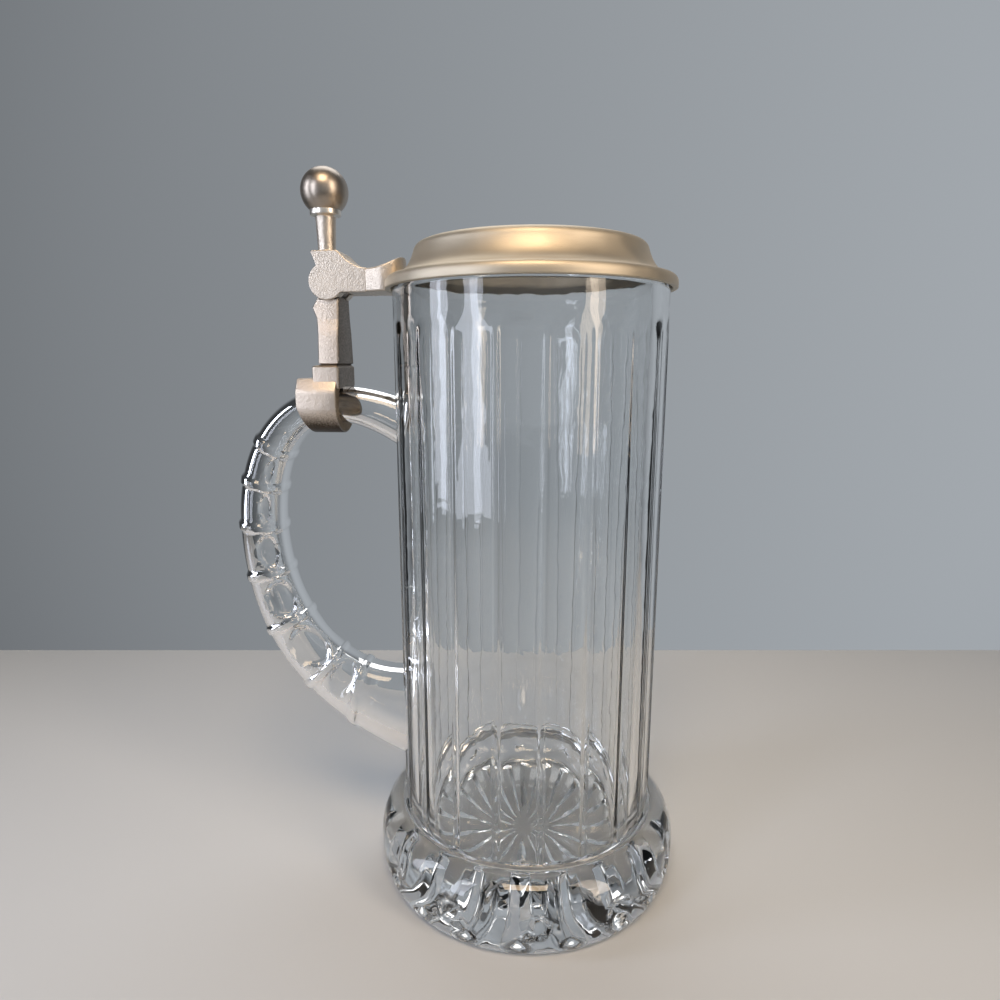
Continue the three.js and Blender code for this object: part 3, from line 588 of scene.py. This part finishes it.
def boxRing(halfWide, halfDeep, corner, around):
    # a ring of points round a rectangle with round corners: a small circle whose quarters are pushed apart
    angle = np.linspace(0, 2 * np.pi, around, endpoint=False) + np.pi / around
    return (np.sign(np.cos(angle)) * (halfWide - corner) + corner * np.cos(angle),
            np.sign(np.sin(angle)) * (halfDeep - corner) + corner * np.sin(angle))

def joined(name, grids, sharpAngle):
    # several closed lofts as one piece
    points, quads, caps, start = [], [], [], 0
    for grid, wrap in grids:
        rows, columns = grid.shape[:2]
        points.append(grid.reshape(-1, 3))
        quads.append(strip(rows, columns, wrap) + start)
        if not wrap:
            caps += [np.arange(columns)[::-1] + start, np.arange(columns) + (rows - 1) * columns + start]
        start += rows * columns
    piece = newPiece(name, np.concatenate(points), np.concatenate(quads), caps, sharpAngle)
    return faceOutward(piece)

def faceOutward(piece):
    # each closed shell's faces turned outward, its end caps flat and cut into triangles
    shape = bmesh.new()
    shape.from_mesh(piece.data)
    bmesh.ops.recalc_face_normals(shape, faces=shape.faces)
    ends = [f for f in shape.faces if len(f.verts) > 4]
    for face in ends:
        face.smooth = False
    bmesh.ops.triangulate(shape, faces=ends, ngon_method="EAR_CLIP")
    shape.to_mesh(piece.data)
    shape.free()
    return piece

collarSizes = {"bevel": 2.0, "bevelDrop": 4.0, "cornerRounds": (0.1, 0.8, 0.6, 0.1), "lean": 2.8, "edge": 0.5,
               "bite": 0.25, "boreRows": 12, "around": 96}

def makeCollar(c, h, b):
    # an outer section carried along X, then back along the handle's own section as the bore
    low, high = nodeBox("handle_collar")
    left, right, half, bottom, top = low[0], high[0], high[1], low[2], high[2]
    belly = (top + bottom) / 2
    outerLine, innerLine = [line(np.linspace(0, 0.5, 400)) for line in handleLines(h, b)]
    def section(drawn):
        # flat bevelled top over a round underside, anticlockwise from the bottom middle
        angle = np.linspace(-np.pi / 2, 0, 24, endpoint=False)
        under = np.stack([half * np.cos(angle), belly + (belly - bottom) * np.sin(angle)], -1)
        corners = [(half, belly), (half, top - c["bevelDrop"]), (half - c["bevel"], top), (0, top)]
        bevel = roundCorners(corners, c["cornerRounds"])
        perCorner = len(bevel) // 4  # the first and last corner only lead in and out
        side = np.concatenate([under, bevel[perCorner:-perCorner]])
        whole = np.concatenate([side, side[:0:-1] * [-1, 1]])
        return inset(evenLoop(whole, c["around"]), drawn)
    def leaned(x, height):
        # the left end leans in below the belly
        below = np.clip((belly - height) / (belly - bottom), 0, 1)
        return x + c["lean"] * below * (right - x) / (right - left)
    angle = np.linspace(-np.pi / 2, 1.5 * np.pi, c["around"], endpoint=False)
    across = (h["neckWide"] / 2 - c["bite"]) * squared(np.cos(angle), h["round"])
    lift = squared(np.sin(angle), h["round"])
    def boreHeight(x):
        # the handle's own section at a place along X, in close contact as cast metal is
        up = np.interp(-x, -outerLine[:, 0], outerLine[:, 1]) - c["bite"]
        down = np.interp(-x, -innerLine[:, 0], innerLine[:, 1]) + c["bite"]
        return (up + down) / 2 + (up - down) / 2 * lift
    rows = []
    for x, drawn in roundedRows(left, right, c["edge"]):
        ring = section(drawn)
        rows.append(np.stack([leaned(x, ring[:, 1]), ring[:, 0], ring[:, 1]], -1))
    for x in np.linspace(right, left, c["boreRows"]):
        place = np.clip(leaned(x, boreHeight(x)), left, right)
        rows.append(np.stack([place, across, boreHeight(place)], -1))
    return joined("collar", [(np.stack(rows), True)], hinge["sharp"])

def coatBore(collar, crust, c):
    # the bore's rows of faces and the two end faces come last on the collar
    collar.data.materials.append(crust)
    row = np.arange(len(collar.data.polygons)) // c["around"]
    collar.data.polygons.foreach_set("material_index", (row >= row[-1] - c["boreRows"]).astype(np.int32))

postSizes = {"wide": 6.6, "topDeep": 10.6, "footDeep": 16.2, "flare": 1.7, "saddle": 3.5, "overhang": 1.9,
             "groove": 0.7, "sink": 3.0, "chamfer": 0.5, "edge": 0.8, "knuckleEdge": 0.3, "webInset": 0.4,
             "webDrop": 2.0, "around": 64, "topRings": (0.9, 0.75, 0.55, 0.3, 0.02)}

def makePost(p):
    # a round-cornered rectangle carried up the post, and the knuckle with its web
    collarTop = nodeBox("handle_collar")[1][2]
    left, right = hingeX - p["wide"] / 2, hingeX + p["wide"] / 2
    saddle = collarTop + hinge["seatGap"] + p["saddle"]
    neck = saddle + p["groove"]
    shoulder = hingeZ - hinge["disc"] - hinge["turnGap"]
    top = hingeZ - hinge["armDrop"] - hinge["turnGap"]
    foot, head = p["footDeep"] / 2, p["topDeep"] / 2
    flare, chamfer, ledge = p["flare"], p["chamfer"], left - p["overhang"]
    # height, left side, right side and half depth up the post
    table = np.array([
        (collarTop - p["sink"], ledge, right, foot),
        (collarTop + 1.2 * chamfer, ledge, right, foot),
        (saddle - chamfer, ledge, right, foot),
        (saddle, ledge + chamfer, right - 0.8 * chamfer, foot - chamfer),
        ((saddle + neck) / 2, left + p["groove"], right - p["groove"], foot - 2 * chamfer),
        (neck, left, right, foot - 1.2 * chamfer),
        ((neck + shoulder) / 2, left, right, (foot + head) / 2),
        (shoulder - 3 * flare, left - 0.25 * flare, right, head + chamfer),
        (shoulder - flare, left - flare, right, head + 0.4 * chamfer),
        (shoulder + 0.8 * chamfer, left - 0.3 * flare, right, head),
        (top, left + 0.6 * chamfer, right, head)])
    height = [np.linspace(a, b, 6, endpoint=False) for a, b in zip(table[:-1, 0], table[1:, 0])]
    height = np.concatenate(height + [[top]])
    leftX, rightX, deep = [np.interp(height, table[:, 0], table[:, i])[:, None] for i in (1, 2, 3)]
    middle = (rightX + leftX) / 2
    x, y = boxRing((rightX - leftX) / 2, deep, p["edge"], p["around"])
    x = x + middle
    def topped(x, z):
        # no higher than the round room under the lever's cheeks
        room = (hinge["disc"] + hinge["turnGap"]) ** 2 - (x - hingeX) ** 2
        return np.minimum(z, hingeZ - np.sqrt(np.clip(room, 0, None)))
    rows = [np.stack([x, y, topped(x, np.repeat(height[:, None], p["around"], 1))], -1)]
    # the hollow top, drawn in to its middle
    for share in p["topRings"]:
        ringX, ringY = middle[-1] + (x[-1] - middle[-1]) * share, y[-1] * share
        rows.append(np.stack([ringX, ringY, topped(ringX, np.full(p["around"], top))], -1)[None])
    shaft = np.concatenate(rows)
    # the knuckle between the lever's cheeks, with its web down into the shaft
    turn = np.linspace(0, 2 * np.pi, hinge["around"], endpoint=False)
    disc = np.stack([hingeX + hinge["knuckle"] * np.cos(turn), hingeZ + hinge["knuckle"] * np.sin(turn)], -1)
    half = hinge["knuckleWide"] / 2
    knuckle = slab(disc, roundedRows(-half, half, p["knuckleEdge"]))
    webLeft, webRight, webLow = left + p["webInset"], right - p["webInset"], shoulder - p["webDrop"]
    web = roundCorners([(webRight, webLow), (webRight, hingeZ), (webLeft, hingeZ), (webLeft, webLow)],
                       (p["knuckleEdge"],) * 4)
    webRows = slab(web, [(-half, 0), (half, 0)])
    return joined("post", [(shaft, False), (knuckle, False), (webRows, False)], hinge["sharp"])

leverSizes = {"rise": 8.9, "topLong": 8.2, "spur": 4.4, "notch": 122.0, "roomEnd": 20.0, "armRise": 3.8,
              "tongueRise": 7.2, "tongueTip": 2.4, "tipHalf": 1.4, "tipLow": 0.3, "tipStart": 0.9,
              "leafWide": 15.6, "leafStart": 5.2, "leafOverlap": 0.6, "leafEdge": 0.8, "leafCorner": 0.7,
              "cornerShare": 0.6, "bridgeOverlap": 0.2, "edge": 0.35, "topEdge": 0.4, "sink": 0.1}

def makeLever(v, lid):
    # two cheeks and a bridge as slabs across Y, and a leaf whose section is carried along X
    top = hingeZ + v["rise"]
    spurX = hingeX - v["spur"]
    topEnd = spurX + v["topLong"]
    lidLow, lidHigh = nodeBox("lid_shell")
    lip = (lidHigh[0] - lidLow[0]) / 2
    dome = lip - lid["domeInset"]
    tipX, armStart = -(dome + v["tongueTip"]), -lip - v["leafStart"]
    armBottom, armTop = hingeZ - hinge["armDrop"], hingeZ + v["armRise"]
    disc, topEdge = hinge["disc"], v["topEdge"]
    # cheek: disc, arm, flat top, spur and notch, anticlockwise from the notch
    meet = -math.degrees(math.asin(hinge["armDrop"] / disc))
    turn = np.radians(np.linspace(v["notch"] - 360, meet, 60))
    arc = np.stack([hingeX + disc * np.cos(turn), hingeZ + disc * np.sin(turn)], -1)
    head = np.concatenate([
        bowed((armStart, armTop), ((topEnd + armStart) / 2, armTop), (topEnd, top), 24),
        [(topEnd - 0.75 * topEdge, top), (spurX + topEdge, top), (spurX, top - topEdge)]])
    under = straight((hingeX + disc * math.cos(turn[-1]), armBottom), (armStart, armBottom), 12)
    end = straight((armStart, armBottom), (armStart, armTop), 8)
    cheek = evenLoop(np.concatenate([arc, under[1:], end, head]), 220)
    turnIn = np.radians(np.linspace(v["notch"], v["roomEnd"], 40))
    room = max(hinge["knuckle"], disc) + hinge["turnGap"]
    over = np.stack([hingeX + room * np.cos(turnIn), hingeZ + room * np.sin(turnIn)], -1)
    bridge = np.concatenate([over, [(hingeX + room, armBottom), (armStart, armBottom)], head])
    half, slot = hinge["leverWide"] / 2, hinge["knuckleWide"] / 2 + hinge["turnGap"]
    inner = slot + v["bridgeOverlap"]
    front = slab(cheek, roundedRows(-half, -slot, v["edge"], True, False))
    back = slab(cheek, roundedRows(slot, half, v["edge"], False, True))
    middle = slab(evenLoop(bridge, 160), [(-inner, 0), (inner, 0)])
    # leaf and tongue: round-cornered sections carried along X, up the lid's cove to the foot of its dome
    start, leaf = armStart - v["leafOverlap"], v["leafWide"] / 2
    x = np.concatenate([np.linspace(start, -lip, 12), np.linspace(-lip, tipX, 24)[1:]])
    tip = (tipX, hingeZ + v["tongueRise"])
    upper = bowedTo((start, armTop - v["sink"]), (-lip, armTop - topEdge), tip, 60)
    plan = np.concatenate([[(start, half - 1.5 * v["sink"])],
                           bowedTo((-lip - v["leafEdge"], leaf), (tipX, leaf), (tipX, v["tipHalf"]), 60)])
    z1, wide = np.interp(x, upper[:, 0], upper[:, 1]), np.interp(x, plan[:, 0], plan[:, 1])
    z0 = np.where(x > -lip + v["tipStart"], hingeZ + v["tipLow"], armBottom + v["sink"])
    corner = np.minimum(v["leafCorner"], v["cornerShare"] * wide)[:, None]
    y, z = boxRing(wide[:, None], (z1 - z0)[:, None] / 2, corner, hinge["around"])
    arm = np.stack([np.repeat(x[:, None], hinge["around"], 1), y, z + (z0 + z1)[:, None] / 2], -1)
    return joined("lever", [(front, False), (back, False), (middle, False), (arm, False)], hinge["sharp"])

# Stage, camera and light

cameraSizes = {"lens": 24.66, "sensor": 36.0, "place": (11.19, -213.5, 166.0), "shiftX": 0.001,
               "right": (0.9954, 0.0960, 0.0), "forward": (-0.0942, 0.9764, -0.1944), "nearest": 5.0}

def makeCamera(c):
    # turned so that its own axes point right, up and backwards
    camera = bpy.data.objects.new("camera", bpy.data.cameras.new("camera"))
    right, forward = Vector(c["right"]).normalized(), Vector(c["forward"]).normalized()
    up = right.cross(forward).normalized()
    turn = Matrix((right, up, -forward)).transposed().to_4x4()
    camera.matrix_world = Matrix.Translation(Vector(c["place"]) * mm) @ turn
    camera.data.lens, camera.data.sensor_width, camera.data.shift_x = c["lens"], c["sensor"], c["shiftX"]
    camera.data.clip_start = c["nearest"] * mm
    bpy.context.scene.collection.objects.link(camera)
    bpy.context.scene.camera = camera

stageSizes = {"tableFar": 167.0, "tableNear": -1500.0, "tableHalf": 1600.0, "drop": 0.05,
              "table": "#c8cbce", "tableRough": 0.7, "wall": "#93989d",
              "sideDark": 0.22, "sideFrom": 0.3, "sideTo": 0.86, "lean": 0.5}

def makeStage(s):
    # the far edge runs square to the camera's heading
    side = np.array(cameraSizes["right"])
    ahead = np.array([-side[1], side[0], 0])
    corners = np.array([(-1, s["tableNear"]), (1, s["tableNear"]), (1, s["tableFar"]), (-1, s["tableFar"])])
    points = corners[:, :1] * s["tableHalf"] * side + corners[:, 1:] * ahead - [0, 0, s["drop"]]
    table = newPiece("table", points, np.array([[0, 1, 2, 3]]))
    # painted board: matt and pale, so that it shows no gloss of its own
    material, _, surface = newMaterial("matt_white_board")
    surface.inputs["Base Color"].default_value = linear(s["table"])
    surface.inputs["Roughness"].default_value = s["tableRough"]
    table.data.materials.append(material)

def makeWorld(s):
    # a pale room, brighter on the right, that darkens to either side, which draws the edges of the glass
    world = bpy.data.worlds.new("studio")
    bpy.context.scene.world = world
    world.use_nodes = True
    tree = world.node_tree
    tree.nodes.clear()
    ray = addNode(tree, "ShaderNodeTexCoord").outputs["Generated"]
    parts = addNode(tree, "ShaderNodeSeparateXYZ", {0: ray})
    depth = addNode(tree, "ShaderNodeMath", {0: parts.outputs[1]}, operation="ABSOLUTE")
    shade = addNode(tree, "ShaderNodeMapRange", {
        "Value": depth.outputs[0], "From Min": s["sideFrom"], "From Max": s["sideTo"],
        "To Min": s["sideDark"], "To Max": 1.0}, interpolation_type="SMOOTHSTEP")
    lean = addNode(tree, "ShaderNodeMath", {
        0: parts.outputs[0], 1: s["lean"], 2: 1.0}, operation="MULTIPLY_ADD")
    tone = addNode(tree, "ShaderNodeMath", {0: shade.outputs[0], 1: lean.outputs[0]}, operation="MULTIPLY")
    glow = addNode(tree, "ShaderNodeBackground", {"Color": linear(s["wall"]), "Strength": tone.outputs[0]})
    addNode(tree, "ShaderNodeOutputWorld", {0: glow.outputs[0]})

# places and sizes in mm, power in watts
lamps = [
    {"name": "warm_lamp", "at": (420, -300, 330), "size": (130, 560), "power": 0.5, "colour": "#ffead2"},
    {"name": "window", "at": (-310, -350, 225), "size": (90, 430), "power": 0.24, "colour": "#eaf0ff"},
    {"name": "side_window", "at": (-460, -130, 240), "size": (90, 460), "power": 0.26, "colour": "#eaf0ff"},
    {"name": "overhead", "at": (20, -420, 760), "size": (360, 260), "power": 0.9, "colour": "#ffe2bd"},
    {"name": "room", "at": (-100, 450, 900), "size": (700, 500), "power": 0.75, "colour": "#ffffff"},
]
lampAim = {"point": (0, 0, 110), "spread": 100}

def makeLamps(rows, aim):
    # soft rectangles of light, all turned to one point on the axis
    for row in rows:
        data = bpy.data.lights.new(row["name"], "AREA")
        data.shape, data.size, data.size_y = "RECTANGLE", row["size"][0] * mm, row["size"][1] * mm
        data.energy, data.color = row["power"], linear(row["colour"])[:3]
        data.spread = math.radians(aim["spread"])
        lamp = bpy.data.objects.new(row["name"], data)
        spot = Vector(row["at"]) * mm
        heading = Vector(aim["point"]) * mm - spot
        lamp.matrix_world = Matrix.Translation(spot) @ heading.to_track_quat("-Z", "Y").to_matrix().to_4x4()
        lamp.visible_camera = False
        bpy.context.scene.collection.objects.link(lamp)

makeCamera(cameraSizes)
makeStage(stageSizes)
makeWorld(stageSizes)
makeLamps(lamps, lampAim)
print("stage, camera and lamps set")

def finishPiece(piece, material, body, slot, *nodes):
    # its material, the body that it rides on and the nodes whose place it takes; its slot is not used
    piece.data.materials.clear()
    piece.data.materials.append(material)
    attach(piece, body)
    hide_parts(*nodes)

castPewter = satinMetal(castFinish, metalRelief)
# a copy of the cast pewter with painted shade on faces that point down or along X
shadedPewter = satinMetal(shadedCastFinish, metalRelief)

glass = makeGlass()
finishPiece(glass, pressedGlass(glassFinish), "mug", "pressed_glass", "glass_body", "glass_handle")
print("glass made:", len(glass.data.polygons), "faces")

lid = makeLid(lidSizes)
finishPiece(lid, satinMetal(spunFinish, metalRelief), "lid", "spun_pewter", "lid_shell")
stem, ring, ball = makeThumbLift(thumbLift)
finishPiece(stem, castPewter, "lid", "cast_pewter", "thumblift_stem")
finishPiece(ring, satinMetal(litRingFinish, metalRelief), "lid", "turned_pewter", "thumblift_ring")
finishPiece(ball, satinMetal(turnedFinish, metalRelief), "lid", "turned_pewter", "thumblift_ball")
print("lid and thumb lift made")

collar = makeCollar(collarSizes, glassHandle, glassBody)
finishPiece(collar, shadedPewter, "mug", "cast_pewter", "handle_collar")
coatBore(collar, oxideCrust(crustFinish), collarSizes)
post = makePost(postSizes)
finishPiece(post, shadedPewter, "mug", "cast_pewter", "hinge_post")
lever = makeLever(leverSizes, lidSizes)
finishPiece(lever, castPewter, "lid", "cast_pewter", "lid_lever")
print("collar, post and lever made")

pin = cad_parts["hinge_pin"]
pin.data.materials.clear()
pin.data.materials.append(satinMetal(wireFinish, metalRelief))

bpy.context.scene.view_settings.view_transform = "Standard"
